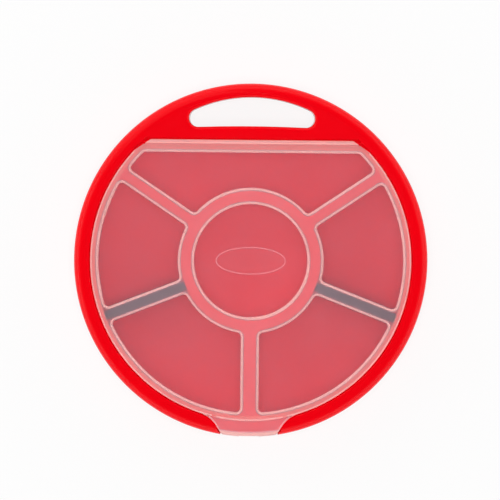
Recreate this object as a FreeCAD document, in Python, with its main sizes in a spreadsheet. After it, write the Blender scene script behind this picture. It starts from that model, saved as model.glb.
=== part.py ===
# Round tool storage caddy: a red case with a carrying handle, a compartment tray with two lift-out
# dividers, and a frosted lid that swings on a rod and snaps shut with a tab at the rim.
# Millimetres. The caddy lies on its back: Z is up through the lid, Y points to the handle, and the
# origin is the middle of the flat back.
import FreeCAD, Part
import os
import re

SIZES = [
    # Case
    ("rim_radius", 150.0, "outer radius of the case"),
    ("overall_height", 50.0, "from the flat back to the front of the rim"),
    ("cover_height", 12.0, "depth of the back cover, up to the parting line"),
    ("shell_wall", 2.4, "wall of the shell and the back cover"),
    ("front_round", 9.5, "rounding of the rim's front edge"),
    ("back_round", 4.5, "rounding of the back edge"),
    ("rim_width", 13.2, "from the round part of the lid opening to the outer radius"),
    ("hinge_rail", 8.9, "from the opening's straight hinge side to the handle slot"),
    ("sleeve_wall", 2.0, "wall round the lid opening and under it"),
    ("edge_round", 0.6, "rounding of the opening's edge"),
    ("back_dish", 0.8, "depth of the dish in the back, inside the ring that it lies on"),
    ("rest_ring", 24.0, "width of the ring that the caddy lies on"),
    ("lip_height", 2.0, "height of the cover's lip inside the shell"),
    ("lip_wall", 1.2, "thickness of that lip"),
    ("lip_fit", 0.3, "gap between the lip and the shell"),
    # Handle
    ("slot_width", 106.4, "width of the handle slot"),
    ("grip_width", 11.7, "from the top of the slot to the outer radius"),
    ("slot_height", 25.8, "height of the slot at its middle, from its lower corners up"),
    ("slot_end", 12.75, "height of the slot at its ends"),
    ("slot_crown", 1.3, "rise of the lower edge at its middle"),
    ("slot_corner", 7.5, "radius of the slot's corners"),
    ("slot_round", 3.4, "rounding of the slot's front and back edges"),
    ("slot_wall", 2.4, "wall round the slot inside the handle"),
    # Compartment tray
    ("tray_wall", 1.8, "wall and floor of the cups"),
    ("floor_gap", 0.6, "gap between the cups and the back cover"),
    ("flange_width", 4.9, "from the outer cups to the round part of the lid opening"),
    ("hinge_band", 9.3, "from the cups beside the hinge to the opening's straight side"),
    ("ring_radius", 59.0, "outside radius of the ring between the hub cup and the others"),
    ("ring_wall", 8.2, "width of that ring"),
    ("side_divider", 7.0, "thickness of the upper and the side dividers"),
    ("lower_divider", 9.8, "thickness of the divider above the latch"),
    ("upper_angle", 33.8, "upper dividers, in degrees above level"),
    ("side_angle", 21.3, "lift-out dividers, in degrees below level"),
    ("cup_corner", 6.5, "radius of the cups' upright corners"),
    ("cup_foot", 3.0, "rounding between the cups' walls and floor"),
    ("flange_thickness", 2.0, "flange that the tray hangs by"),
    ("tray_fit", 0.3, "gap between the tray and the shell"),
    # Lift-out dividers
    ("divider_fit", 0.3, "gap between a lift-out divider and the tray"),
    ("divider_wall", 1.5, "wall of the hollow lift-out dividers"),
    ("guide_depth", 2.6, "how far the tray's guide ribs stand out"),
    ("guide_thickness", 1.4, "thickness of the guide ribs"),
    ("guide_drop", 8.0, "from the tray's top down to the guide ribs"),
    # Lid
    ("lid_drop", 1.0, "how far the lid lies below the rim's front"),
    ("lid_gap", 1.0, "gap between the lid's round edge and the opening"),
    ("hinge_gap", 1.4, "gap between the lid's straight edge and the opening"),
    ("lid_thickness", 1.5, "sheet thickness of the lid and its tab"),
    ("lid_seat", 0.3, "gap between the lid and the tray below it"),
    ("panel_depth", 3.0, "how far the panels are sunk"),
    ("panel_fit", 0.4, "gap between a sunk panel and its cup"),
    ("panel_round", 1.2, "rounding of the panels' edges"),
    ("pad_length", 59.5, "length of the plain oval pad on the hub panel"),
    ("pad_width", 23.5, "width of the oval pad"),
    ("pad_height", 0.6, "height of the oval pad"),
    # Hinge
    ("barrel_radius", 1.7, "radius of the curl along the lid's back edge and of its knuckles"),
    ("edge_length", 170.5, "length of the lid's straight back edge"),
    ("corner_angle", 34.0, "slant of the lid's corners beside that edge, in degrees"),
    ("corner_setback", 2.5, "from the hinge axis to the lid's plate"),
    ("rod_radius", 0.9, "radius of the hinge rod"),
    ("rod_fit", 0.05, "gap between the rod and its sockets in the shell"),
    ("rod_end_gap", 0.3, "gap between the rod's ends and the sockets"),
    ("socket_depth", 3.0, "depth of the sockets"),
    ("knuckle_fit", 0.1, "running gap between the rod and the lid"),
    ("knuckle_width", 7.0, "width of a closed knuckle"),
    ("knuckle_pitch", 56.0, "distance between knuckles"),
    # Latch
    ("root_inset", 4.2, "from the line where the tab bends to the lid's round edge"),
    ("latch_gap", 0.2, "gap between the lid and the tab at that line"),
    ("latch_tip_width", 43.0, "width of the tab at the rim"),
    ("latch_taper", 32.6, "slant of the tab's sides, in degrees"),
    ("latch_flare", 26.0, "radius that joins the tab's sides to the lid's round edge"),
    ("latch_corner", 3.0, "radius of the tab's outer corners"),
    ("latch_inset", 0.4, "how far the tab lies inside the rim's outer radius"),
    ("latch_round", 5.5, "outer radius of the tab's bend"),
    ("latch_drop", 22.4, "height of the tab, from the lid's top to its lower end"),
    ("hook_reach", 0.8, "how far the hook stands in from the tab"),
    ("hook_height", 1.8, "height of the hook"),
    ("notch_width", 17.0, "width of the finger notch in the tab's face"),
    ("notch_depth", 0.8, "depth of the finger notch"),
    ("recess_gap", 1.3, "gap beside the tab in the rim's recess"),
    ("recess_under", 0.5, "gap under the tab"),
    ("recess_behind", 1.7, "room between the tab and the recess wall"),
    ("catch_fit", 0.3, "gap between the hook's tip and the catch"),
    ("catch_lift", 0.4, "gap between the hook and the catch above it"),
    # Screws
    ("screw_inset", 7.6, "from the screws to the outer radius"),
    ("upper_screw", 50.0, "screws beside the handle, in degrees above level"),
    ("lower_screw", 55.0, "screws beside the latch, in degrees below level"),
    ("screw_radius", 1.5, "radius of a screw's shank"),
    ("screw_length", 18.0, "length of a screw under its head"),
    ("head_radius", 2.6, "radius of a screw's head"),
    ("head_height", 1.9, "height of a screw's head"),
    ("head_seat", 4.2, "from the flat back to the seat of the screw heads"),
    ("drive_width", 0.7, "width of the cross recess in a head"),
    ("drive_length", 3.2, "length of the cross recess"),
    ("drive_depth", 1.1, "depth of the cross recess"),
    ("head_fit", 0.3, "gap round a screw's head"),
    ("shank_fit", 0.2, "gap round a shank in the cover"),
    ("thread_fit", 0.05, "gap round a shank in the shell's boss"),
    ("boss_radius", 3.4, "radius of the shell's screw bosses"),
    ("boss_depth", 3.0, "how far a boss's hole runs past the screw's end"),
    ("past", 2.0, "how far cutting solids run past the faces that they cut"),
]

# Heights, radii and places that several pieces share, in terms of the sizes.
PLACES = {
    "opening_radius": "rim_radius - rim_width",
    "slot_top": "rim_radius - grip_width",
    "slot_bottom": "slot_top - slot_height",
    "slot_bow": "slot_height - slot_end",
    "slot_top_radius": "((slot_width / 2) ^ 2 + slot_bow ^ 2) / (2 * slot_bow)",
    "opening_edge": "slot_bottom - hinge_rail",
    "cavity_radius": "opening_radius - flange_width",
    "cavity_edge": "opening_edge - hinge_band",
    "hub_radius": "ring_radius - ring_wall",
    "screw_circle": "rim_radius - screw_inset",
    "lid_top": "overall_height - lid_drop",
    "lid_under": "lid_top - lid_thickness",
    "tray_top": "lid_under - lid_seat",
    "ledge": "tray_top - flange_thickness",
    "cup_under": "shell_wall + back_dish + floor_gap",
    "cup_floor": "cup_under + tray_wall",
    "panel_under": "lid_under - panel_depth",
    "panel_floor": "lid_top - panel_depth",
    "lid_radius": "opening_radius - lid_gap",
    "lid_edge": "opening_edge - hinge_gap",
    "axis_y": "lid_edge - barrel_radius",
    "axis_z": "lid_top - lid_thickness / 2",
    "socket": "sqrt(opening_radius ^ 2 - axis_y ^ 2) + socket_depth",
    "corner_edge": "axis_y - corner_setback",
    "curl_root": "axis_y - (barrel_radius + rod_radius + knuckle_fit) / 2",
    "curl_end": "edge_length / 2 + 2 * barrel_radius / tan(corner_angle)",
    "latch_root": "lid_radius - root_inset",
    "tab_radius": "rim_radius - latch_inset",
    "tab_inside": "tab_radius - lid_thickness",
    "tab_end": "lid_top - latch_drop",
    "recess_radius": "tab_inside - recess_behind",
    "recess_floor": "lid_under - recess_under",
    "recess_end": "tab_end - recess_gap",
    "hook_tip": "tab_inside - hook_reach",
    "catch_tip": "hook_tip - catch_fit",
    "catch_radius": "catch_tip - recess_radius",
    "catch_z": "tab_end + hook_height + catch_lift + catch_radius",
    "slot_middle": "slot_top - slot_top_radius",
}

doc = FreeCAD.newDocument("caddy")
sheet = doc.addObject("Spreadsheet::Sheet", "sizes")
for row, (alias, number, meaning) in enumerate(SIZES, 1):
    sheet.set(f"A{row}", alias)
    sheet.set(f"B{row}", str(number))
    sheet.set(f"C{row}", meaning)
    sheet.setAlias(f"B{row}", alias)
doc.recompute()
ALIASES = {alias for alias, number, meaning in SIZES}


def bound(expression):
    """An expression in plain size and place names, as the spreadsheet's cells."""
    def cell(match):
        word = match.group(0)
        if word in PLACES:
            return "(" + bound(PLACES[word]) + ")"
        return "sizes." + word if word in ALIASES else word
    return re.sub(r"[a-z_]+", cell, expression)


def size(alias):
    """A driving dimension as a number."""
    return float(sheet.get(alias))


def measure(expression):
    """What an expression in sizes and places comes to, as a number."""
    point = doc.addObject("Part::Vertex", "measure")
    point.setExpression("X", bound(expression))
    point.recompute()
    number = point.X.Value
    doc.removeObject(point.Name)
    return number


def bind(feature, **expressions):
    """Tie a feature's properties to the sizes."""
    for name, expression in expressions.items():
        feature.setExpression(name, bound(expression))
    return feature


def place(feature, x="0", y="0", z="0"):
    """Tie a feature's place to the sizes."""
    for axis, expression in zip("xyz", (x, y, z)):
        feature.setExpression("Placement.Base." + axis, bound(expression))
    return feature


def cylinder(name, radius, low, high, x="0", y="0"):
    """An upright cylinder between two heights."""
    feature = doc.addObject("Part::Cylinder", name)
    bind(feature, Radius=radius, Height=f"({high}) - ({low})")
    return place(feature, x, y, low)


def cross_bar(name, radius, middle, width):
    """A cylinder along the hinge axis, with its middle at the given place across the caddy."""
    feature = doc.addObject("Part::Cylinder", name)
    feature.Placement.Rotation = FreeCAD.Rotation(FreeCAD.Vector(0, 1, 0), 90)
    bind(feature, Radius=radius, Height=width)
    return place(feature, f"({middle}) - ({width}) / 2", "axis_y", "axis_z")


def box(name, low, high):
    """A box between two corners."""
    feature = doc.addObject("Part::Box", name)
    spans = [f"({top}) - ({bottom})" for bottom, top in zip(low, high)]
    bind(feature, Length=spans[0], Width=spans[1], Height=spans[2])
    return place(feature, *low)


def spoke(name, angle, half_width, inner, outer, low, high):
    """A box that runs outwards from the middle at an angle, in degrees."""
    feature = doc.addObject("Part::Box", name)
    bind(feature, Length=f"({outer}) - ({inner})", Width=f"2 * ({half_width})", Height=f"({high}) - ({low})")
    feature.setExpression("Placement.Rotation.Angle", bound(angle))
    along = f"({inner}) * {{0}}({angle})"
    across = f"({half_width}) * {{0}}({angle})"
    x = along.format("cos") + " + " + across.format("sin")
    y = along.format("sin") + " - " + across.format("cos")
    return place(feature, x, y, low)


def cut(name, base, *tools):
    """The base with every tool taken out of it."""
    feature = doc.addObject("Part::Cut", name)
    feature.Base = base
    feature.Tool = tools[0] if len(tools) == 1 else fuse(name + "_tools", *tools)
    return feature


def fuse(name, *shapes):
    """Several shapes made one."""
    feature = doc.addObject("Part::MultiFuse", name)
    feature.Shapes = list(shapes)
    feature.Refine = True
    return feature


def common(name, *shapes):
    """What several shapes share."""
    feature = doc.addObject("Part::MultiCommon", name)
    feature.Shapes = list(shapes)
    return feature


def rounded(name, base, radius_of):
    """The base with each edge rounded by the radius that radius_of gives for it, if any."""
    doc.recompute()
    feature = doc.addObject("Part::Fillet", name)
    feature.Base = base
    radii = [(number, radius_of(edge)) for number, edge in enumerate(base.Shape.Edges, 1)]
    feature.Edges = [(number, radius, radius) for number, radius in radii if radius]
    return feature


def level(edge, height):
    """Whether an edge lies flat at a height."""
    bounds = edge.BoundBox
    return max(abs(bounds.ZMin - height), abs(bounds.ZMax - height)) < 1e-4


def upright(edge):
    """Whether an edge is a straight upright corner."""
    bounds = edge.BoundBox
    return bounds.ZLength > 1e-3 and max(bounds.XLength, bounds.YLength) < 1e-4


def drum(name, radius, low, high, round_size, at_top=True):
    """A cylinder with one end's edge rounded."""
    blank = cylinder(name + "_blank", radius, low, high)
    doc.recompute()
    end = blank.Shape.BoundBox.ZMax if at_top else blank.Shape.BoundBox.ZMin
    return rounded(name, blank, lambda edge: round_size if level(edge, end) else 0)


def segment(name, radius, back, front, low, high):
    """The part of a disc between two straight lines across the caddy."""
    wide = f"({radius}) + past"
    disc = cylinder(name + "_disc", radius, low, high)
    band = box(name + "_band", (f"-({wide})", back, low), (wide, front, high))
    return common(name, disc, band)


def tapered(name, margin, low, high):
    """The space between the tab's slanted sides, with a margin, from inside the lid's edge outwards."""
    feature = doc.addObject("Part::Wedge", name)
    start = "latch_root - root_inset"
    middle = f"latch_tip_width / 2 + ({margin}) / cos(latch_taper)"
    root = f"{middle} + (rim_radius - ({start})) * tan(latch_taper)"
    tip = f"{middle} - past * tan(latch_taper)"
    bind(feature, Xmin=f"-({tip})", Xmax=tip, X2min=f"-({root})", X2max=root)
    bind(feature, Ymin="-(rim_radius + past)", Ymax=f"-({start})")
    bind(feature, Zmin=low, Zmax=high, Z2min=low, Z2max=high)
    return feature


def flared(name, edge_radius, margin, low, high):
    """The lid's round edge and the tab in one outline, with curved joints and a margin all round."""
    edge_side = segment(name + "_edge", edge_radius, "-rim_radius", "0", low, high)
    blank = fuse(name + "_blank", edge_side, tapered(name + "_taper", margin, low, high))
    reach = measure(edge_radius)
    flare = measure(f"latch_flare - ({margin})")

    def corner_radius(edge):
        middle = edge.BoundBox.Center
        joint = middle.y < -reach / 2 and abs(FreeCAD.Vector(middle.x, middle.y, 0).Length - reach) < 1e-3
        return flare if upright(edge) and joint else 0

    return rounded(name, blank, corner_radius)


UPPER = ("upper_angle", "180 - upper_angle")
SIDE = ("180 + side_angle", "360 - side_angle")
LOWER = ("270",)
# The two corners at an end of the handle slot share its height.
CORNER_SHARE = 0.62


def cups(name, skin, low, high, foot, lift_out):
    """The ring of cups as solids, grown by a skin. Two neighbours are one cup where a divider lifts out."""
    outer = segment(name + "_outer", f"cavity_radius + {skin}", "-rim_radius", f"cavity_edge + {skin}",
                    low, high)
    inner = cylinder(name + "_inner", f"ring_radius - ({skin})", low, high)
    fixed = [(angle, "side_divider") for angle in UPPER] + [(angle, "lower_divider") for angle in LOWER]
    if not lift_out:
        fixed += [(angle, "side_divider") for angle in SIDE]
    walls = [
        spoke(f"{name}_wall_{number}", angle, f"{width} / 2 - ({skin})", "0", "rim_radius", low, high)
        for number, (angle, width) in enumerate(fixed)
    ]
    blank = cut(name + "_blank", outer, inner, *walls)
    doc.recompute()
    corner = measure(f"cup_corner + {skin}")
    floor = blank.Shape.BoundBox.ZMin
    corners = rounded(name + "_corners", blank, lambda edge: corner if upright(edge) else 0)
    return rounded(name, corners, lambda edge: foot if level(edge, floor) else 0)


def hub(name, skin, low, high, foot):
    """The hub cup as a solid, grown by a skin."""
    return drum(name, f"hub_radius + {skin}", low, high, foot, at_top=False)


def handle_slot(name, margin, low, high):
    """The handle's slot as a solid: bowed top and bottom, rounded corners, grown by a margin."""
    half = f"slot_width / 2 + {margin}"
    top = cylinder(name + "_top", f"slot_top_radius + {margin}", low, high, y="slot_middle")
    base = box(name + "_base", (f"-({half})", f"slot_bottom - {margin}", low), (half, "rim_radius", high))
    bow = "((slot_width / 2) ^ 2 + slot_crown ^ 2) / (2 * slot_crown)"
    crown = cylinder(name + "_bow", f"{bow} - {margin}", low, high, y=f"slot_bottom + slot_crown - {bow}")
    blank = cut(name + "_blank", common(name + "_span", base, top), crown)
    corner = min(size("slot_corner"), CORNER_SHARE * size("slot_end")) + measure(margin)
    return rounded(name, blank, lambda edge: corner if upright(edge) else 0)


def screw_places():
    """Where the screws stand: beside the handle, at the sides and beside the latch."""
    angles = ("0", "180", "upper_screw", "180 - upper_screw", "-lower_screw", "180 + lower_screw")
    return [(f"screw_circle * cos({angle})", f"screw_circle * sin({angle})") for angle in angles]


def posts(name, radius, low, high):
    """An upright cylinder at each screw."""
    places = enumerate(screw_places())
    return [cylinder(f"{name}_{number}", radius, low, high, x, y) for number, (x, y) in places]


def slot_edges(shape_edge, height):
    """Whether an edge belongs to the handle slot's rim at a height."""
    bounds = shape_edge.BoundBox
    beside = measure("slot_width / 2 + slot_wall")
    under = measure("slot_bottom - slot_wall")
    inside = abs(bounds.Center.x) < beside and bounds.YMin > under
    return inside and level(shape_edge, height)


def make_outer_shell():
    """Red rim with the handle: a hollow cap with the lid's opening, the rod's sockets and a latch recess."""
    cap = drum("cap", "rim_radius", "cover_height", "overall_height", size("front_round"))
    above = "overall_height + past"
    below = "cover_height - past"
    slot = handle_slot("shell_slot", "0", below, above)
    opening = segment("opening", "opening_radius", "-rim_radius", "opening_edge", "ledge", above)
    pierced = cut("cap_pierced", cap, slot, opening)
    opening_reach = measure("opening_radius + edge_round")
    opening_back = measure("opening_edge + edge_round")

    def edge_radius(edge):
        if slot_edges(edge, size("overall_height")):
            return size("slot_round")
        round_side = edge.BoundBox.YMax < opening_back and edge.BoundBox.XMax < opening_reach
        return size("edge_round") if round_side and level(edge, size("overall_height")) else 0

    face = rounded("cap_face", pierced, edge_radius)

    hollow = drum("cap_hollow", "rim_radius - shell_wall", below, "overall_height - shell_wall",
                  size("front_round") - size("shell_wall"))
    sleeve = segment("sleeve", "opening_radius + sleeve_wall", "-rim_radius", "opening_edge + sleeve_wall",
                     "ledge - sleeve_wall", above)
    socket_wall = "rod_radius + sleeve_wall"
    near = "socket - socket_depth - past"
    far = "socket + sleeve_wall"
    low = (f"axis_y - ({socket_wall})", f"axis_z - ({socket_wall})")
    high = (f"axis_y + {socket_wall}", above)
    sockets = [
        box("socket_right", (near, *low), (far, *high)),
        box("socket_left", (f"-({far})", *low), (f"-({near})", *high)),
    ]
    grip = handle_slot("grip_wall", "slot_wall", below, above)
    pocket_end = "recess_end - sleeve_wall"
    pocket_outline = flared("latch_pocket_outline", "opening_radius + sleeve_wall",
                            "recess_gap + sleeve_wall", pocket_end, above)
    pocket = common("latch_pocket", pocket_outline,
                    cylinder("latch_pocket_round", "rim_radius", pocket_end, above))
    pocket_room = cylinder("latch_pocket_room", "recess_radius - sleeve_wall", below,
                           "recess_floor - sleeve_wall")
    pocket_shell = cut("latch_pocket_shell", pocket, pocket_room)
    bosses = posts("boss", "boss_radius", "cover_height", above)
    inside = cut("shell_inside", hollow, sleeve, grip, pocket_shell, *sockets, *bosses)
    walls = cut("shell_walls", face, inside)

    tray_room = "tray_wall + tray_fit"
    tray_hole = segment("tray_hole", f"cavity_radius + {tray_room}", "-rim_radius",
                        f"cavity_edge + {tray_room}", below, above)
    recess_round = measure("latch_round - lid_thickness - recess_under")
    recess = cut("latch_recess",
                 flared("latch_recess_outline", "opening_radius", "recess_gap", "recess_end", above),
                 drum("latch_recess_core", "recess_radius", below, "recess_floor", recess_round))
    pilots = posts("pilot", "screw_radius + thread_fit", below, "head_seat + screw_length + boss_depth")
    carved = cut("shell_carved", walls, tray_hole, recess, *pilots)

    catch_bead = doc.addObject("Part::Torus", "catch_bead")
    place(bind(catch_bead, Radius1="recess_radius", Radius2="catch_radius"), z="catch_z")
    catch_span = tapered("catch_span", "-recess_gap", "recess_end", above)
    catch_fill = cylinder("catch_fill", "recess_radius - sleeve_wall / 2", below, above)
    catch = cut("catch", common("catch_arc", catch_bead, catch_span), catch_fill)
    rod_bore = cross_bar("rod_bore", "rod_radius + rod_fit", "0", "2 * socket")
    return cut("outer_shell", fuse("shell_fitted", carved, catch), rod_bore)


def make_back_cover():
    """Red back: a shallow dish with screw bosses, a slot wall and a lip inside the shell."""
    above = "cover_height + past"
    blank = drum("cover_blank", "rim_radius", "0", "cover_height", size("back_round"), at_top=False)
    slot = handle_slot("cover_slot", "0", "-past", above)
    dish = cylinder("back_dish", "rim_radius - back_round - rest_ring", "-past", "back_dish")
    dish_limit = box("dish_limit", ("-rim_radius", "-rim_radius", "-past"),
                     ("rim_radius", "slot_bottom - slot_wall - slot_round", "back_dish"))
    pierced = cut("cover_pierced", blank, slot, common("back_dish_span", dish, dish_limit))
    face = rounded("cover_face", pierced, lambda edge: size("slot_round") if slot_edges(edge, 0) else 0)
    hollow = drum("cover_hollow", "rim_radius - shell_wall", "shell_wall", above,
                  size("back_round") - size("shell_wall"), at_top=False)
    floor = cylinder("cover_floor", "rim_radius - back_round - rest_ring + shell_wall", "0",
                     "shell_wall + back_dish")
    grip = handle_slot("cover_grip_wall", "slot_wall", "-past", above)
    bosses = posts("cover_boss", "boss_radius + head_fit", "0", above)
    walls = cut("cover_walls", face, cut("cover_inside", hollow, grip, floor, *bosses))
    lip_outer = "rim_radius - shell_wall - lip_fit"
    lip_low = "cover_height - past"
    lip = cut("lip_ring", cylinder("lip_outside", lip_outer, lip_low, "cover_height + lip_height"),
              cylinder("lip_inside", f"{lip_outer} - lip_wall", "0", above))
    foot_outside = cylinder("lip_foot_outside", "rim_radius - shell_wall", lip_low, "cover_height")
    foot_inside = cylinder("lip_foot_inside", f"{lip_outer} - lip_wall", "0", above)
    lip_foot = cut("lip_foot", foot_outside, foot_inside)
    shanks = posts("cover_shank", "screw_radius + shank_fit", "-past", above)
    heads = posts("cover_head", "head_radius + head_fit", "-past", "head_seat")
    return cut("back_cover", fuse("cover_fitted", walls, lip, lip_foot), *shanks, *heads)


def make_compartment_tray():
    """Red tray: thin cups that hang from one flange, with guide ribs for the lift-out dividers."""
    foot = size("cup_foot")
    flange = segment("flange", "opening_radius - tray_fit", "-rim_radius", "cavity_edge + tray_wall",
                     "ledge", "tray_top")
    shells = [
        cups("cup_skins", "tray_wall", "cup_under", "tray_top", foot + size("tray_wall"), lift_out=True),
        hub("hub_skin", "tray_wall", "cup_under", "tray_top", foot + size("tray_wall")),
    ]
    rooms = [
        cups("cup_rooms", "0", "cup_floor", "tray_top + past", foot, lift_out=True),
        hub("hub_room", "0", "cup_floor", "tray_top + past", foot),
    ]
    hollow = cut("tray_hollow", fuse("tray_blank", flange, *shells), *rooms)
    offset = "side_divider / 2 + divider_fit + guide_thickness"
    ribs = []
    for number, angle in enumerate(SIDE):
        for end, inner, outer in (("hub", "ring_radius - tray_wall / 2", "ring_radius + guide_depth"),
                                  ("rim", "cavity_radius - guide_depth", "cavity_radius + tray_wall / 2")):
            low, high = "cup_floor - tray_wall / 2", "tray_top - guide_drop"
            both = spoke(f"guide_{end}_{number}", angle, offset, inner, outer, low, high)
            gap = spoke(f"guide_gap_{end}_{number}", angle, "side_divider / 2 + divider_fit",
                        f"{inner} - past", f"{outer} + past", low, high)
            ribs.append(cut(f"guides_{end}_{number}", both, gap))
    return fuse("compartment_tray", hollow, *ribs)


def make_divider(name, angle, room):
    """Black lift-out divider: a hollow wall, open below, whose ends follow the cup that it stands in."""
    block = spoke(name + "_block", angle, "side_divider / 2", "0", "rim_radius", "0", "tray_top")
    margin = "divider_fit + divider_wall"
    core = spoke(name + "_core", angle, "side_divider / 2 - divider_wall", f"ring_radius + {margin}",
                 f"cavity_radius - ({margin})", "0", "tray_top - divider_wall")
    return cut(name, common(name + "_wall", block, room), core)


def make_hinge_rod():
    """Red rod inside the lid's curl, with its ends in the shell's sockets."""
    return cross_bar("hinge_rod", "rod_radius", "0", "2 * (socket - rod_end_gap)")


def make_lid():
    """Frosted lid: a thin plate whose six panels are sunk into the cups, curled at its back over the rod."""
    disc = segment("lid_disc", "lid_radius", "-rim_radius", "corner_edge", "lid_under", "lid_top")
    flare = flared("lid_flare", "lid_radius", "0", "lid_under", "lid_top")
    tab_side = box("lid_tab_side", ("-rim_radius", "-(rim_radius + 2 * past)", "lid_under - past"),
                   ("rim_radius", "-latch_root", "lid_top + past"))
    plate = cut("lid_plate", fuse("lid_outline", disc, flare), tab_side)
    outer = "-panel_fit"
    inner = "-(panel_fit + lid_thickness)"
    bend = size("panel_round")
    sunk = [cups("panel_skins", outer, "panel_under", "lid_under + lid_thickness / 2", bend, lift_out=False),
            hub("hub_panel_skin", outer, "panel_under", "lid_under + lid_thickness / 2", bend)]
    rooms = [cups("panel_rooms", inner, "panel_floor", "lid_top + past", bend, lift_out=False),
             hub("hub_panel_room", inner, "panel_floor", "lid_top + past", bend)]
    web = box("curl_web", ("-curl_end", "corner_edge - past", "lid_under"),
              ("curl_end", "curl_root", "lid_top"))
    mouth = box("curl_mouth", ("-rim_radius", "corner_edge", "lid_under - barrel_radius - past"),
                ("rim_radius", "opening_edge", "lid_under"))
    curl = cut("curl", cross_bar("curl_bar", "barrel_radius", "0", "2 * curl_end"), mouth)
    corner = doc.addObject("Part::Box", "lid_corner")
    height = "lid_thickness + 2 * (barrel_radius + past)"
    bind(corner, Length="2 * rim_width", Width="rim_width", Height=height)
    corner.setExpression("Placement.Rotation.Angle", bound("-corner_angle"))
    place(corner, "edge_length / 2", "lid_edge", "lid_under - barrel_radius - past")
    other_corner = doc.addObject("Part::Mirroring", "lid_other_corner")
    other_corner.Source = corner
    other_corner.Normal = FreeCAD.Vector(1, 0, 0)
    knuckles = [
        cross_bar(f"knuckle_{number}", "barrel_radius", middle, "knuckle_width")
        for number, middle in enumerate(("-knuckle_pitch", "0", "knuckle_pitch"))
    ]
    bore = cross_bar("knuckle_bore", "rod_radius + knuckle_fit", "0", "2 * rim_radius")
    sheet_lid = cut("lid_sheet", fuse("lid_blank", plate, *sunk, web, curl, *knuckles), *rooms, bore, corner,
                    other_corner)
    top = measure("lid_top")
    panel_reach = measure("cavity_radius")
    panel_back = measure("cavity_edge")

    def edge_radius(edge):
        reach = max(vertex.Point.x ** 2 + vertex.Point.y ** 2 for vertex in edge.Vertexes) ** 0.5
        on_panel = reach < panel_reach and edge.BoundBox.YMax < panel_back
        return size("panel_round") if level(edge, top) and on_panel else 0

    smooth = rounded("lid_smooth", sheet_lid, edge_radius)
    oval = doc.addObject("Part::Ellipse", "oval")
    bind(oval, MajorRadius="pad_length / 2", MinorRadius="pad_width / 2")
    place(oval, z="panel_floor - lid_thickness / 2")
    pad = doc.addObject("Part::Extrusion", "oval_pad")
    pad.Base = oval
    pad.Dir = FreeCAD.Vector(0, 0, 1)
    pad.Solid = True
    bind(pad, LengthFwd="lid_thickness / 2 + pad_height")
    return fuse("lid", smooth, pad)


def make_lid_latch():
    """Frosted tab: a plate that bends over the rim and ends in a hook under the shell's catch."""
    bend = size("latch_round")
    outside = drum("tab_outside", "tab_radius", "tab_end", "lid_top", bend)
    room = drum("tab_room", "tab_inside", "tab_end - past", "lid_under", bend - size("lid_thickness"))
    hook_top = "tab_end + hook_height"
    hook = cut("hook", cylinder("hook_outside", "tab_radius - lid_thickness / 2", "tab_end", hook_top),
               cylinder("hook_inside", "hook_tip", "tab_end - past", f"{hook_top} + past"))
    notch = box("finger_notch", ("-notch_width / 2", "-rim_radius", "tab_end - past"),
                ("notch_width / 2", "-tab_radius + notch_depth", "lid_top"))
    bent = cut("tab_bent", fuse("tab_full", cut("tab_sheet", outside, room), hook), notch)
    low, high = "tab_end - past", "lid_top + past"
    span = segment("tab_span", "tab_radius", "-rim_radius", "-(latch_root + latch_gap)", low, high)
    outline = common("tab_outline", flared("tab_flare", "lid_radius", "0", low, high), span)
    doc.recompute()
    tip = -outline.Shape.BoundBox.YMin

    def corner_radius(edge):
        at_rim = edge.BoundBox.Center.y < -(tip - size("root_inset"))
        return size("latch_corner") if upright(edge) and at_rim else 0

    return common("lid_latch", bent, rounded("tab_rounded", outline, corner_radius))


def make_case_screws():
    """Six self-tapping screws, head towards the back, with a cross recess."""
    low = "head_seat - head_height"
    shanks = posts("screw_shank", "screw_radius", "head_seat - head_height / 2", "head_seat + screw_length")
    heads = posts("screw_head", "head_radius", low, "head_seat")
    screws = []
    for number, (shank, head, (x, y)) in enumerate(zip(shanks, heads, screw_places())):
        slots = []
        turns = (("drive_width", "drive_length"), ("drive_length", "drive_width"))
        for turn, (wide, long) in enumerate(turns):
            corner = (f"{x} - {wide} / 2", f"{y} - {long} / 2", f"{low} - past")
            slots.append(box(f"drive_{number}_{turn}", corner,
                             (f"{x} + {wide} / 2", f"{y} + {long} / 2", f"{low} + drive_depth")))
        screws.append(cut(f"screw_{number}", fuse(f"screw_blank_{number}", shank, head), *slots))
    group = doc.addObject("Part::Compound", "case_screws")
    group.Links = screws
    return group


def main():
    """Build every piece, check the document and write one file for each piece."""
    room = cups("divider_rooms", "-divider_fit", "cup_floor + divider_fit", "tray_top",
                size("cup_foot") - size("divider_fit"), lift_out=True)
    pieces = {
        "outer_shell": make_outer_shell(),
        "back_cover": make_back_cover(),
        "compartment_tray": make_compartment_tray(),
        "divider_left": make_divider("divider_left", SIDE[0], room),
        "divider_right": make_divider("divider_right", SIDE[1], room),
        "hinge_rod": make_hinge_rod(),
        "lid": make_lid(),
        "lid_latch": make_lid_latch(),
        "case_screws": make_case_screws(),
    }
    doc.recompute()
    failed = [item.Name for item in doc.Objects if {"Invalid", "Error"} & set(item.State)]
    if failed:
        raise RuntimeError("objects failed: " + ", ".join(failed))
    for name, piece in pieces.items():
        piece.Label = name
        if piece.Shape.isNull() or not piece.Shape.isValid() or not piece.Shape.Solids:
            raise RuntimeError("no valid solid in " + name)
    os.makedirs("parts", exist_ok=True)
    for name, piece in pieces.items():
        piece.Shape.exportStep(f"parts/{name}.step")
        print(name, len(piece.Shape.Solids), "solids,", round(piece.Shape.Volume / 1000, 2), "cm3")


main()
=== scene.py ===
"""Looks of a round tool storage caddy: red moulded case, frosted lid, black dividers, steel screws.

Metres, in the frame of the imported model: the caddy lies on its back, +Z up through the lid, and +Y is
towards the handle.
"""
import math

import bpy
import numpy as np
from mathutils import Matrix, Vector


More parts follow.
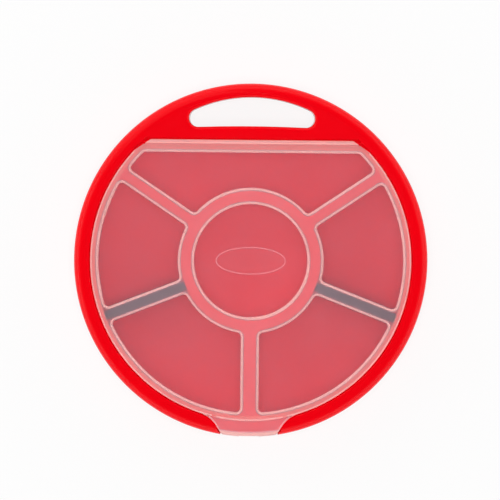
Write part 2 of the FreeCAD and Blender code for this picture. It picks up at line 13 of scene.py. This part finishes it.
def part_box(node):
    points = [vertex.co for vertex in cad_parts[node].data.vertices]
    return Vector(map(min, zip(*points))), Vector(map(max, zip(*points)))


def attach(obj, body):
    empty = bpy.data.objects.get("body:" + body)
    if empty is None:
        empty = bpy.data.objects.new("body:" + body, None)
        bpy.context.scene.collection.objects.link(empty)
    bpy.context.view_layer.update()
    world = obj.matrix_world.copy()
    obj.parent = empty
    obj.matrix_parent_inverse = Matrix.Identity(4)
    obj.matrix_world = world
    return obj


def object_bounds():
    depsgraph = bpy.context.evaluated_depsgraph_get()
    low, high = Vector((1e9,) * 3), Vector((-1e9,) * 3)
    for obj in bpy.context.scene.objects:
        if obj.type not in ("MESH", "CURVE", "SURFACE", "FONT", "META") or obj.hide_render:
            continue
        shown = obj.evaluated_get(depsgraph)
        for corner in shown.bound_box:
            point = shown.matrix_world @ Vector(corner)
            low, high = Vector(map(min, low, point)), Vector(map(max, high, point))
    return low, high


bl_info = {
    "name": "Round storage caddy",
    "version": (1, 0, 0),
    "blender": (4, 5, 0),
    "location": "View3D > Sidebar > Caddy",
    "description": "Finishes, fine beads and stage of a round storage caddy with a frosted lid",
    "category": "Object",
}

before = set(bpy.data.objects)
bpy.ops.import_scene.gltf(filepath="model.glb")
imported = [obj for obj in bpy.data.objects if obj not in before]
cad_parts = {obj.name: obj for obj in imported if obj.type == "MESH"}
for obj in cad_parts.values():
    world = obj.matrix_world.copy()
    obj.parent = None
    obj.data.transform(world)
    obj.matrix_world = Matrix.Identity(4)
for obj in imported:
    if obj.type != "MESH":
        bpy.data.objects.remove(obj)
CAD_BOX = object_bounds()
LID_LOW, LID_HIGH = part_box("lid")
TAB_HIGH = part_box("lid_latch")[1]
LID_TOP = TAB_HIGH.z
LID_RADIUS = LID_HIGH.x
RIM_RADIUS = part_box("outer_shell")[1].x
# Beads stop this far from the line where the tab bends, and sink this far into the face below them.
END_GAP = 0.0003
BEAD_SINK = 0.0001


class CaddyFinishes(bpy.types.PropertyGroup):
    """Colours of the caddy's materials, as sRGB hex values."""

    red: bpy.props.StringProperty(
        name="Red", description="Pigment of the moulded case and tray", default="#EE0211")
    milk: bpy.props.StringProperty(
        name="Milk", description="Natural polypropylene where the lid is thin", default="#FBE9FB")
    cream: bpy.props.StringProperty(
        name="Cream", description="The same plastic in the lid's border", default="#FBE9E9")
    # Painted light: a pink that stands in for the red light the lid's steep walls scatter up from the tray.
    step: bpy.props.StringProperty(
        name="Step", description="What the lid's steep walls pick up from the red tray", default="#FAC2BD")
    # Partly painted light: the dark pigment is real, and its red cast stands in for red light from the tray
    # around the dividers.
    black: bpy.props.StringProperty(
        name="Black", description="Pigment of the lift-out dividers", default="#381F22")
    steel: bpy.props.StringProperty(
        name="Steel", description="Bright steel of the case screws", default="#C3C4C8")
    paper: bpy.props.StringProperty(
        name="Paper", description="Studio floor", default="#F7F7F7")


class CaddyLid(bpy.types.PropertyGroup):
    """How milky the lid is, from 0 for clear to 1 for white, and its fine beads."""

    panel_haze: bpy.props.FloatProperty(
        name="Panel haze", description="Milkiness of the sunk panels", default=0.05, min=0, max=1)
    spoke_haze: bpy.props.FloatProperty(
        name="Spoke haze", description="Milkiness between the panels", default=0.092, min=0, max=1)
    border_haze: bpy.props.FloatProperty(
        name="Border haze", description="Milkiness of the lid's border", default=0.15, min=0, max=1)
    wall_haze: bpy.props.FloatProperty(
        name="Wall haze", description="Milkiness of the steps round the panels", default=0.7, min=0, max=1)
    panel_level: bpy.props.FloatProperty(
        name="Panel level", description="Height between the panels and the plate",
        default=LID_TOP - 0.00225, unit="LENGTH")
    border_start: bpy.props.FloatProperty(
        name="Border start", description="Radius where the border begins", default=0.1314, unit="LENGTH")
    band_start: bpy.props.FloatProperty(
        name="Band start", description="From the middle to the band beside the hinge",
        default=0.0936, unit="LENGTH")
    bead_width: bpy.props.FloatProperty(
        name="Bead width", description="Width of the bead on the lid's edge", default=0.0012, unit="LENGTH")
    bead_height: bpy.props.FloatProperty(
        name="Bead height", description="Height of that bead", default=0.0004, unit="LENGTH")
    bead_end: bpy.props.FloatProperty(
        name="Bead end", description="Where that bead ends beside the hinge, above level",
        default=math.radians(42.8), subtype="ANGLE")
    tab_width: bpy.props.FloatProperty(
        name="Tab width", description="Width of the tab at the rim", default=0.043, unit="LENGTH")
    tab_taper: bpy.props.FloatProperty(
        name="Tab taper", description="Slant of the tab's sides",
        default=math.radians(32.6), subtype="ANGLE")
    tab_flare: bpy.props.FloatProperty(
        name="Tab flare", description="Radius that joins the tab's sides to the lid's edge",
        default=0.026, unit="LENGTH")
    tab_bend: bpy.props.FloatProperty(
        name="Tab bend", description="From the rim to where the tab starts to bend down, along its side",
        default=0.0085, unit="LENGTH")
    pad_length: bpy.props.FloatProperty(
        name="Pad length", description="Length of the oval pad on the hub", default=0.0595, unit="LENGTH")
    pad_width: bpy.props.FloatProperty(
        name="Pad width", description="Width of the oval pad", default=0.0235, unit="LENGTH")
    pad_level: bpy.props.FloatProperty(
        name="Pad level", description="Height of the oval pad's face",
        default=LID_TOP - 0.0024, unit="LENGTH")
    pad_bead: bpy.props.FloatProperty(
        name="Pad bead", description="Width of the bead round the oval pad", default=0.0005, unit="LENGTH")


class CaddyStage(bpy.types.PropertyGroup):
    """Camera and lights."""

    distance: bpy.props.FloatProperty(
        name="Distance", description="From the camera to the caddy", default=2.5, unit="LENGTH")
    field: bpy.props.FloatProperty(
        name="Field", description="Width of the picture at the rim", default=0.4242, unit="LENGTH")
    tilt: bpy.props.FloatProperty(
        name="Tilt", description="Camera's lean towards the handle",
        default=math.radians(2.2), subtype="ANGLE")
    roll: bpy.props.FloatProperty(
        name="Roll", description="Turn of the picture", default=math.radians(0.58), subtype="ANGLE")
    aim: bpy.props.FloatVectorProperty(
        name="Aim", description="Point at the middle of the picture",
        default=(-0.0007, 0.0089, 0.04), subtype="TRANSLATION")
    key: bpy.props.FloatProperty(
        name="Key", description="Power of the lamp beyond the handle", default=8.0, unit="POWER")
    top: bpy.props.FloatProperty(
        name="Top", description="Power of the lamp overhead", default=26.0, unit="POWER")
    ring: bpy.props.FloatProperty(
        name="Ring", description="Level of the soft light from all sides", default=0.3)
    horizon: bpy.props.FloatProperty(
        name="Horizon", description="Level of the light near the floor", default=3.6)


def linear(hex_colour):
    """Linear RGBA of an sRGB hex value: each channel's gamma curve undone."""
    channels = np.array([int(hex_colour[i:i + 2], 16) for i in (1, 3, 5)]) / 255
    low, high = channels / 12.92, ((channels + 0.055) / 1.055) ** 2.4
    return (*np.where(channels <= 0.04045, low, high).tolist(), 1.0)


def add_node(material, kind, inputs=None, **settings):
    """Add a node with its settings, and fill its inputs from numbers or from other nodes' sockets."""
    tree = material.node_tree
    node = tree.nodes.new(kind)
    for name, value in settings.items():
        setattr(node, name, value)
    for name, value in (inputs or {}).items():
        if isinstance(value, bpy.types.NodeSocket):
            tree.links.new(value, node.inputs[name])
        else:
            node.inputs[name].default_value = value
    return node


def new_material(name):
    """An empty node material."""
    material = bpy.data.materials.new(name)
    material.use_nodes = True
    material.node_tree.nodes.clear()
    return material


def moulded_polypropylene(name, colour, roughness, grain_mm):
    """Injection-moulded polypropylene: an even pigment, a satin skin and the spark-eroded grain of the mould.

    The grain is drawn a few times coarser than a mould's 0.1 mm, so that it shows at this distance.
    """
    material = new_material(name)
    place = add_node(material, "ShaderNodeTexCoord").outputs["Object"]
    flow = add_node(material, "ShaderNodeTexNoise", {"Vector": place, "Scale": 1 / 0.06, "Detail": 3.0})
    grain = add_node(material, "ShaderNodeTexNoise",
                     {"Vector": place, "Scale": 1000 / grain_mm, "Detail": 2.0})
    shade = add_node(material, "ShaderNodeMapRange",
                     {"Value": flow.outputs["Fac"], "To Min": 0.965, "To Max": 1.035})
    tint = add_node(material, "ShaderNodeVectorMath",
                    {0: linear(colour)[:3], "Scale": shade.outputs["Result"]}, operation="SCALE")
    skin = add_node(material, "ShaderNodeMapRange",
                    {"Value": grain.outputs["Fac"], "To Min": roughness - 0.06, "To Max": roughness + 0.06})
    bump = add_node(material, "ShaderNodeBump",
                    {"Strength": 0.12, "Distance": 0.00015, "Height": grain.outputs["Fac"]})
    shader = add_node(material, "ShaderNodeBsdfPrincipled", {
        "Base Color": tint.outputs["Vector"], "Roughness": skin.outputs["Result"], "IOR": 1.49,
        "Specular IOR Level": 0.1, "Normal": bump.outputs["Normal"]})
    add_node(material, "ShaderNodeOutputMaterial", {"Surface": shader.outputs["BSDF"]})
    return material


def frosted_polypropylene(name, finish, lid):
    """Natural polypropylene sheet with a matt mould face: milky, blurred to look through, whiter on steps.

    The haze follows the mould: thin sunk panels are clearest and scatter a cool white, the flat plate between
    them is milkier, the border is milkier still and creamy, and the steps' steep walls are milkiest. The
    steep walls' colour is also a painted pink, which stands in for the red light they scatter up from the
    tray. The matt grain is drawn at 0.7 mm, coarser than the mould's, so that it shows.
    """
    material = new_material(name)
    own = add_node(material, "ShaderNodeTexCoord")
    place = own.outputs["Object"]
    axes = add_node(material, "ShaderNodeSeparateXYZ", {"Vector": place})
    flat = add_node(material, "ShaderNodeVectorMath", {0: place, 1: (1, 1, 0)}, operation="MULTIPLY")
    radius = add_node(material, "ShaderNodeVectorMath", {0: flat.outputs["Vector"]}, operation="LENGTH")
    # Zones pass into each other over twice this width.
    soft = 0.0004
    plate = add_node(material, "ShaderNodeMapRange", {
        "Value": axes.outputs["Z"], "From Min": lid.panel_level - soft, "From Max": lid.panel_level + soft,
        "To Min": lid.panel_haze, "To Max": lid.spoke_haze})
    tab = add_node(material, "ShaderNodeMapRange", {
        "Value": radius.outputs["Value"], "From Min": LID_RADIUS, "From Max": LID_RADIUS + soft,
        "To Min": 1.0, "To Max": 0.0})
    rim = add_node(material, "ShaderNodeMapRange", {
        "Value": radius.outputs["Value"], "From Min": lid.border_start - soft,
        "From Max": lid.border_start + soft, "To Max": tab.outputs["Result"]})
    band = add_node(material, "ShaderNodeMapRange", {
        "Value": axes.outputs["Y"], "From Min": lid.band_start - soft, "From Max": lid.band_start + soft})
    border = add_node(material, "ShaderNodeMath",
                      {0: rim.outputs["Result"], 1: band.outputs["Result"]}, operation="MAXIMUM")
    zoned = add_node(material, "ShaderNodeMapRange", {
        "Value": border.outputs["Value"], "To Min": plate.outputs["Result"], "To Max": lid.border_haze})
    facing = add_node(material, "ShaderNodeSeparateXYZ", {"Vector": own.outputs["Normal"]})
    upward = add_node(material, "ShaderNodeMath", {0: facing.outputs["Z"]}, operation="ABSOLUTE")
    # Walls begin at a slope of 6 degrees and are full walls at 26.
    steep = add_node(material, "ShaderNodeMapRange",
                     {"Value": upward.outputs["Value"], "From Min": 0.995, "From Max": 0.9})
    stepped = add_node(material, "ShaderNodeMapRange", {
        "Value": steep.outputs["Result"], "To Min": zoned.outputs["Result"], "To Max": lid.wall_haze})
    milk, cream, painted_tray_glow = (np.array(linear(tone)[:3]) for tone in (finish.milk, finish.cream, finish.step))
    warmth = add_node(material, "ShaderNodeMapRange", {
        "Value": zoned.outputs["Result"], "From Min": lid.panel_haze, "From Max": lid.border_haze})
    white = add_node(material, "ShaderNodeVectorMath",
                     {0: warmth.outputs["Result"], 1: cream - milk, 2: milk}, operation="MULTIPLY_ADD")
    # Steep walls take the painted pink of the tray's red light in place of the milk colour.
    # A Mix node's vectors are its sockets 4 and 5, and its vector result is output 1.
    tint = add_node(material, "ShaderNodeMix", {
        "Factor": steep.outputs["Result"], 4: white.outputs["Vector"], 5: painted_tray_glow}, data_type="VECTOR")
    flow = add_node(material, "ShaderNodeTexNoise", {"Vector": place, "Scale": 1 / 0.035, "Detail": 4.0})
    cloud = add_node(material, "ShaderNodeMapRange",
                     {"Value": flow.outputs["Fac"], "To Min": 0.86, "To Max": 1.14})
    haze = add_node(material, "ShaderNodeMath",
                    {0: stepped.outputs["Result"], 1: cloud.outputs["Result"]}, operation="MULTIPLY")
    clear = add_node(material, "ShaderNodeMath", {0: 1.0, 1: haze.outputs["Value"]}, operation="SUBTRACT")
    grain = add_node(material, "ShaderNodeTexNoise", {"Vector": place, "Scale": 1000 / 0.7, "Detail": 2.0})
    bump = add_node(material, "ShaderNodeBump",
                    {"Strength": 0.1, "Distance": 0.0001, "Height": grain.outputs["Fac"]})
    frost = add_node(material, "ShaderNodeMapRange",
                     {"Value": flow.outputs["Fac"], "To Min": 0.35, "To Max": 0.45})
    sheet = add_node(material, "ShaderNodeBsdfPrincipled", {
        "Base Color": tint.outputs[1], "Roughness": frost.outputs["Result"], "IOR": 1.49,
        "Specular IOR Level": 0.3, "Transmission Weight": clear.outputs["Value"],
        "Normal": bump.outputs["Normal"]})
    passed = add_node(material, "ShaderNodeBsdfTransparent", {"Color": (1, 1, 1, 1)})
    rays = add_node(material, "ShaderNodeLightPath")
    mixed = add_node(material, "ShaderNodeMixShader", {
        0: rays.outputs["Is Shadow Ray"], 1: sheet.outputs["BSDF"], 2: passed.outputs["BSDF"]})
    add_node(material, "ShaderNodeOutputMaterial", {"Surface": mixed.outputs["Shader"]})
    return material


def bright_steel(name, colour):
    """Drawn and zinc-plated steel: a bright metal with fine streaks from the die along each screw.

    The streaks are drawn 0.4 mm apart, coarser than real ones, so that they show.
    """
    material = new_material(name)
    place = add_node(material, "ShaderNodeTexCoord").outputs["Object"]
    along = add_node(material, "ShaderNodeMapping", {"Vector": place, "Scale": (1, 1, 0.02)})
    streaks = add_node(material, "ShaderNodeTexNoise",
                       {"Vector": along.outputs["Vector"], "Scale": 1000 / 0.4, "Detail": 2.0})
    polish = add_node(material, "ShaderNodeMapRange",
                      {"Value": streaks.outputs["Fac"], "To Min": 0.2, "To Max": 0.38})
    shader = add_node(material, "ShaderNodeBsdfPrincipled", {
        "Base Color": linear(colour), "Metallic": 1.0, "Roughness": polish.outputs["Result"]})
    add_node(material, "ShaderNodeOutputMaterial", {"Surface": shader.outputs["BSDF"]})
    return material


def studio_paper(name, colour):
    """Paper on a light table: near white, also in mirrors and through glass, with a faint shadow."""
    material = new_material(name)
    rays = add_node(material, "ShaderNodeLightPath").outputs
    indirect = add_node(material, "ShaderNodeMath",
                        {0: rays["Is Glossy Ray"], 1: rays["Is Transmission Ray"]}, operation="MAXIMUM")
    seen = add_node(material, "ShaderNodeMath",
                    {0: rays["Is Camera Ray"], 1: indirect.outputs["Value"]}, operation="MAXIMUM")
    share = add_node(material, "ShaderNodeMath", {0: seen.outputs["Value"], 1: 0.85}, operation="MULTIPLY")
    paper = add_node(material, "ShaderNodeBsdfDiffuse", {"Color": linear(colour)})
    glow = add_node(material, "ShaderNodeEmission", {"Strength": 1.0})
    both = add_node(material, "ShaderNodeMixShader", {
        0: share.outputs["Value"], 1: paper.outputs["BSDF"], 2: glow.outputs["Emission"]})
    add_node(material, "ShaderNodeOutputMaterial", {"Surface": both.outputs["Shader"]})
    return material


def dress(nodes, material):
    """Give CAD nodes a material."""
    for name in nodes:
        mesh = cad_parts[name].data
        mesh.materials.clear()
        mesh.materials.append(material)


def swept_mesh(name, path, across, up, profile, loop):
    """A closed profile carried along a path: point(i, j) = path(i) + u(j) across(i) + v(j) up(i).

    A loop's last row joins its first, and any other path's ends are capped.
    """
    grid = path[:, None] + profile[None, :, :1] * across[:, None] + profile[None, :, 1:] * up[:, None]
    rows, columns = grid.shape[:2]
    i, j = np.meshgrid(np.arange(rows if loop else rows - 1), np.arange(columns), indexing="ij")
    ahead, beside = (i + 1) % rows, (j + 1) % columns
    near, far = i * columns, ahead * columns
    quads = np.stack([near + j, near + beside, far + beside, far + j], -1).reshape(-1, 4).tolist()
    ends = np.arange(rows * columns).reshape(rows, columns)[[0, -1]]
    caps = [] if loop else [ends[0, ::-1].tolist(), ends[1].tolist()]
    mesh = bpy.data.meshes.new(name)
    mesh.from_pydata(grid.reshape(-1, 3).tolist(), [], quads + caps)
    mesh.validate()
    mesh.shade_smooth()
    piece = bpy.data.objects.new(name, mesh)
    bpy.context.scene.collection.objects.link(piece)
    return piece


def bead(name, path, outward, level, width, height, loop):
    """Low bead on a level face: a half ellipse, width by height, carried along a flat path."""
    path = np.column_stack([path, np.full(len(path), level)])
    outward = np.column_stack([outward, np.zeros(len(outward))])
    up = np.broadcast_to((0.0, 0.0, 1.0), path.shape)
    turn = np.linspace(0, math.pi, 9)
    arch = np.stack([np.cos(turn) * width / 2, np.sin(turn) * height], -1)
    foot = np.array([[-width / 2, -BEAD_SINK], [width / 2, -BEAD_SINK]])
    return swept_mesh(name, path, outward, up, np.concatenate([arch, foot])[::-1], loop)


def arc(radius, start, end):
    """Points r (cos a, sin a) of an arc round the middle, and the directions away from it."""
    angle = np.linspace(start, end, 160)
    outward = np.stack([np.cos(angle), np.sin(angle)], -1)
    return outward * radius, outward


def oval(length, width):
    """Points (a cos t, b sin t) of an ellipse and the directions away from it."""
    turn = np.linspace(0, 2 * math.pi, 120, endpoint=False)
    points = np.stack([np.cos(turn) * length / 2, np.sin(turn) * width / 2], -1)
    outward = np.stack([np.cos(turn) * width, np.sin(turn) * length], -1)
    return points, outward / np.linalg.norm(outward, axis=1, keepdims=True)


def tab_side(inset, lid):
    """Right side of the tab from its bend upwards, a little inside its edge, and the directions out of it.

    The straight flank runs through the tab's tip at the rim. The flare joins it to the lid's round edge: an
    arc of radius f whose centre c lies at f beside the flank and at |c| = R + f from the middle.
    """
    along = np.array([math.sin(lid.tab_taper), math.cos(lid.tab_taper)])
    beside = np.array([along[1], -along[0]])
    tip = np.array([lid.tab_width / 2, -RIM_RADIUS])
    foot = tip + lid.tab_flare * beside
    half = foot @ along
    reach = -half - math.sqrt(half ** 2 - foot @ foot + (LID_RADIUS + lid.tab_flare) ** 2)
    centre = foot + reach * along
    flank = tip - inset * beside + np.linspace(lid.tab_bend, reach, 40)[:, None] * along
    start = math.atan2(-beside[1], -beside[0])
    end = math.atan2(-centre[1], -centre[0])
    angle = np.linspace(start, end, 60)[1:]
    inward = np.stack([np.cos(angle), np.sin(angle)], -1)
    points = np.concatenate([flank, centre + (lid.tab_flare + inset) * inward])
    return points, np.concatenate([np.broadcast_to(beside, flank.shape), -inward])


class CADDY_OT_red_mouldings(bpy.types.Operator):
    """Red polypropylene on the case, its back cover, the compartment tray and the hinge rod"""

    bl_idname = "caddy.red_mouldings"
    bl_label = "Red mouldings"

    def execute(self, context):
        finish = context.scene.caddy_finishes
        dress(["outer_shell", "back_cover", "compartment_tray", "hinge_rod"],
              moulded_polypropylene("red_moulded_polypropylene", finish.red, 0.18, 0.8))
        return {"FINISHED"}


class CADDY_OT_dividers(bpy.types.Operator):
    """Black polypropylene on the lift-out dividers"""

    bl_idname = "caddy.dividers"
    bl_label = "Dividers"

    def execute(self, context):
        finish = context.scene.caddy_finishes
        dress(["divider_left", "divider_right"],
              moulded_polypropylene("black_moulded_polypropylene", finish.black, 0.5, 0.8))
        return {"FINISHED"}


class CADDY_OT_steel_fittings(bpy.types.Operator):
    """Bright steel on the case screws"""

    bl_idname = "caddy.steel_fittings"
    bl_label = "Steel fittings"

    def execute(self, context):
        finish = context.scene.caddy_finishes
        dress(["case_screws"], bright_steel("zinc_plated_steel", finish.steel))
        return {"FINISHED"}


class CADDY_OT_frosted_lid(bpy.types.Operator):
    """Frosted polypropylene on the lid and its tab, with low beads on their edges and round the oval pad"""

    bl_idname = "caddy.frosted_lid"
    bl_label = "Frosted lid"

    def execute(self, context):
        lid = context.scene.caddy_lid
        finish = context.scene.caddy_finishes
        frosted = frosted_polypropylene("frosted_polypropylene", finish, lid)
        dress(["lid", "lid_latch"], frosted)
        inset = lid.bead_width / 2 + BEAD_SINK
        radius = LID_RADIUS - inset
        below = -math.pi / 2
        lid_end = math.acos(-(LID_LOW.y + END_GAP) / radius)
        tab_end = math.acos(-(TAB_HIGH.y - END_GAP) / radius)
        side, outward = tab_side(inset, lid)
        on_tab, on_lid = side[:, 1] < TAB_HIGH.y - END_GAP, side[:, 1] > LID_LOW.y + END_GAP
        # The left side is the right one mirrored and run backwards, so that its faces point outwards too.
        other_side, other_outward = side[::-1] * (-1, 1), outward[::-1] * (-1, 1)
        lines = [
            ("lid_bead_right", "lid", arc(radius, below + lid_end, lid.bead_end)),
            ("lid_bead_left", "lid", arc(radius, math.pi - lid.bead_end, 2 * math.pi + below - lid_end)),
            ("lid_flare_right", "lid", (side[on_lid], outward[on_lid])),
            ("lid_flare_left", "lid", (other_side[on_lid[::-1]], other_outward[on_lid[::-1]])),
            ("tab_bead", "latch", arc(radius, below - tab_end, below + tab_end)),
            ("tab_side_right", "latch", (side[on_tab], outward[on_tab])),
            ("tab_side_left", "latch", (other_side[on_tab[::-1]], other_outward[on_tab[::-1]])),
        ]
        beads = [(bead(name, *path, LID_TOP, lid.bead_width, lid.bead_height, False), body)
                 for name, body, path in lines]
        pad_edge = oval(lid.pad_length - 2 * lid.pad_bead, lid.pad_width - 2 * lid.pad_bead)
        pad_line = bead("pad_bead", *pad_edge, lid.pad_level, lid.pad_bead, lid.pad_bead / 8, True)
        beads.append((pad_line, "lid"))
        for line, body in beads:
            line.data.materials.append(frosted)
            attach(line, body)
        return {"FINISHED"}


class CADDY_OT_stage(bpy.types.Operator):
    """White paper, a soft studio and a camera that looks down on the lid"""

    bl_idname = "caddy.stage"
    bl_label = "Stage"

    def execute(self, context):
        scene, stage = context.scene, context.scene.caddy_stage
        scene.view_settings.view_transform = "Standard"
        # The floor lies a hair below the caddy, so that their faces don't coincide.
        floor_gap, reach = 0.0002, 30.0
        corners = [(-reach, -reach, 0), (reach, -reach, 0), (reach, reach, 0), (-reach, reach, 0)]
        mesh = bpy.data.meshes.new("floor")
        mesh.from_pydata(corners, [], [(0, 1, 2, 3)])
        mesh.materials.append(studio_paper("studio_paper", scene.caddy_finishes.paper))
        floor = bpy.data.objects.new("floor", mesh)
        floor.location.z = CAD_BOX[0].z - floor_gap
        scene.collection.objects.link(floor)

        world = bpy.data.worlds.new("studio")
        scene.world = world
        world.use_nodes = True
        world.node_tree.nodes.clear()
        # Bright near the floor, dimmer above, and dark overhead, where the lid would mirror it to the camera.
        axes = add_node(world, "ShaderNodeSeparateXYZ",
                        {"Vector": add_node(world, "ShaderNodeTexCoord").outputs["Generated"]})
        ring = add_node(world, "ShaderNodeMapRange", {
            "Value": axes.outputs["Z"], "From Max": 0.6, "To Min": stage.horizon, "To Max": stage.ring})
        level = add_node(world, "ShaderNodeMapRange", {
            "Value": axes.outputs["Z"], "From Min": 0.4, "From Max": 0.75, "To Min": ring.outputs["Result"],
            "To Max": 0.03})
        sky = add_node(world, "ShaderNodeBackground", {"Strength": level.outputs["Result"]})
        add_node(world, "ShaderNodeOutputWorld", {"Surface": sky.outputs["Background"]})

        # The lamp overhead fills the cups. It has no mirror image, as if the camera stood in a gap in it.
        # Each row gives a lamp's name, power, width and place.
        lamps = (("key", stage.key, 1.5, (-0.9, 1.6, 1.7)), ("top", stage.top, 0.6, (0, 0.01, 2.2)))
        for name, power, width, place in lamps:
            lamp = bpy.data.lights.new(name, "AREA")
            lamp.energy, lamp.size = power, width
            light = bpy.data.objects.new(name, lamp)
            light.location = place
            light.rotation_euler = (-light.location).to_track_quat("-Z", "Y").to_euler()
            light.visible_camera = light.visible_glossy = light.visible_transmission = name == "key"
            scene.collection.objects.link(light)

        camera = bpy.data.cameras.new("camera")
        camera.lens = camera.sensor_width * stage.distance / stage.field
        camera.clip_end = 100
        view = bpy.data.objects.new("camera", camera)
        lean = Matrix.Rotation(-stage.tilt, 4, "X") @ Matrix.Rotation(stage.roll, 4, "Z")
        back = lean.to_3x3() @ Vector((0, 0, 1))
        view.matrix_world = Matrix.Translation(Vector(stage.aim) + back * stage.distance) @ lean
        scene.collection.objects.link(view)
        scene.camera = view
        return {"FINISHED"}


class CADDY_PT_panel(bpy.types.Panel):
    """Steps that dress the caddy"""

    bl_idname = "CADDY_PT_panel"
    bl_label = "Caddy"
    bl_space_type = "VIEW_3D"
    bl_region_type = "UI"
    bl_category = "Caddy"

    def draw(self, context):
        for step in STEPS:
            self.layout.operator(step.bl_idname)


STEPS = (CADDY_OT_red_mouldings, CADDY_OT_dividers, CADDY_OT_steel_fittings, CADDY_OT_frosted_lid,
         CADDY_OT_stage)
GROUPS = {"caddy_finishes": CaddyFinishes, "caddy_lid": CaddyLid, "caddy_stage": CaddyStage}


def register():
    """Add the classes and the scene's settings."""
    for item in (*GROUPS.values(), *STEPS, CADDY_PT_panel):
        bpy.utils.register_class(item)
    for name, group in GROUPS.items():
        setattr(bpy.types.Scene, name, bpy.props.PointerProperty(type=group))


def unregister():
    """Take the settings and the classes out again."""
    for name in GROUPS:
        delattr(bpy.types.Scene, name)
    for item in (CADDY_PT_panel, *reversed(STEPS), *GROUPS.values()):
        bpy.utils.unregister_class(item)


def main():
    """Dress the caddy step by step."""
    register()
    for step in STEPS:
        group, name = step.bl_idname.split(".")
        getattr(getattr(bpy.ops, group), name)()


if __name__ == "__main__":
    main()
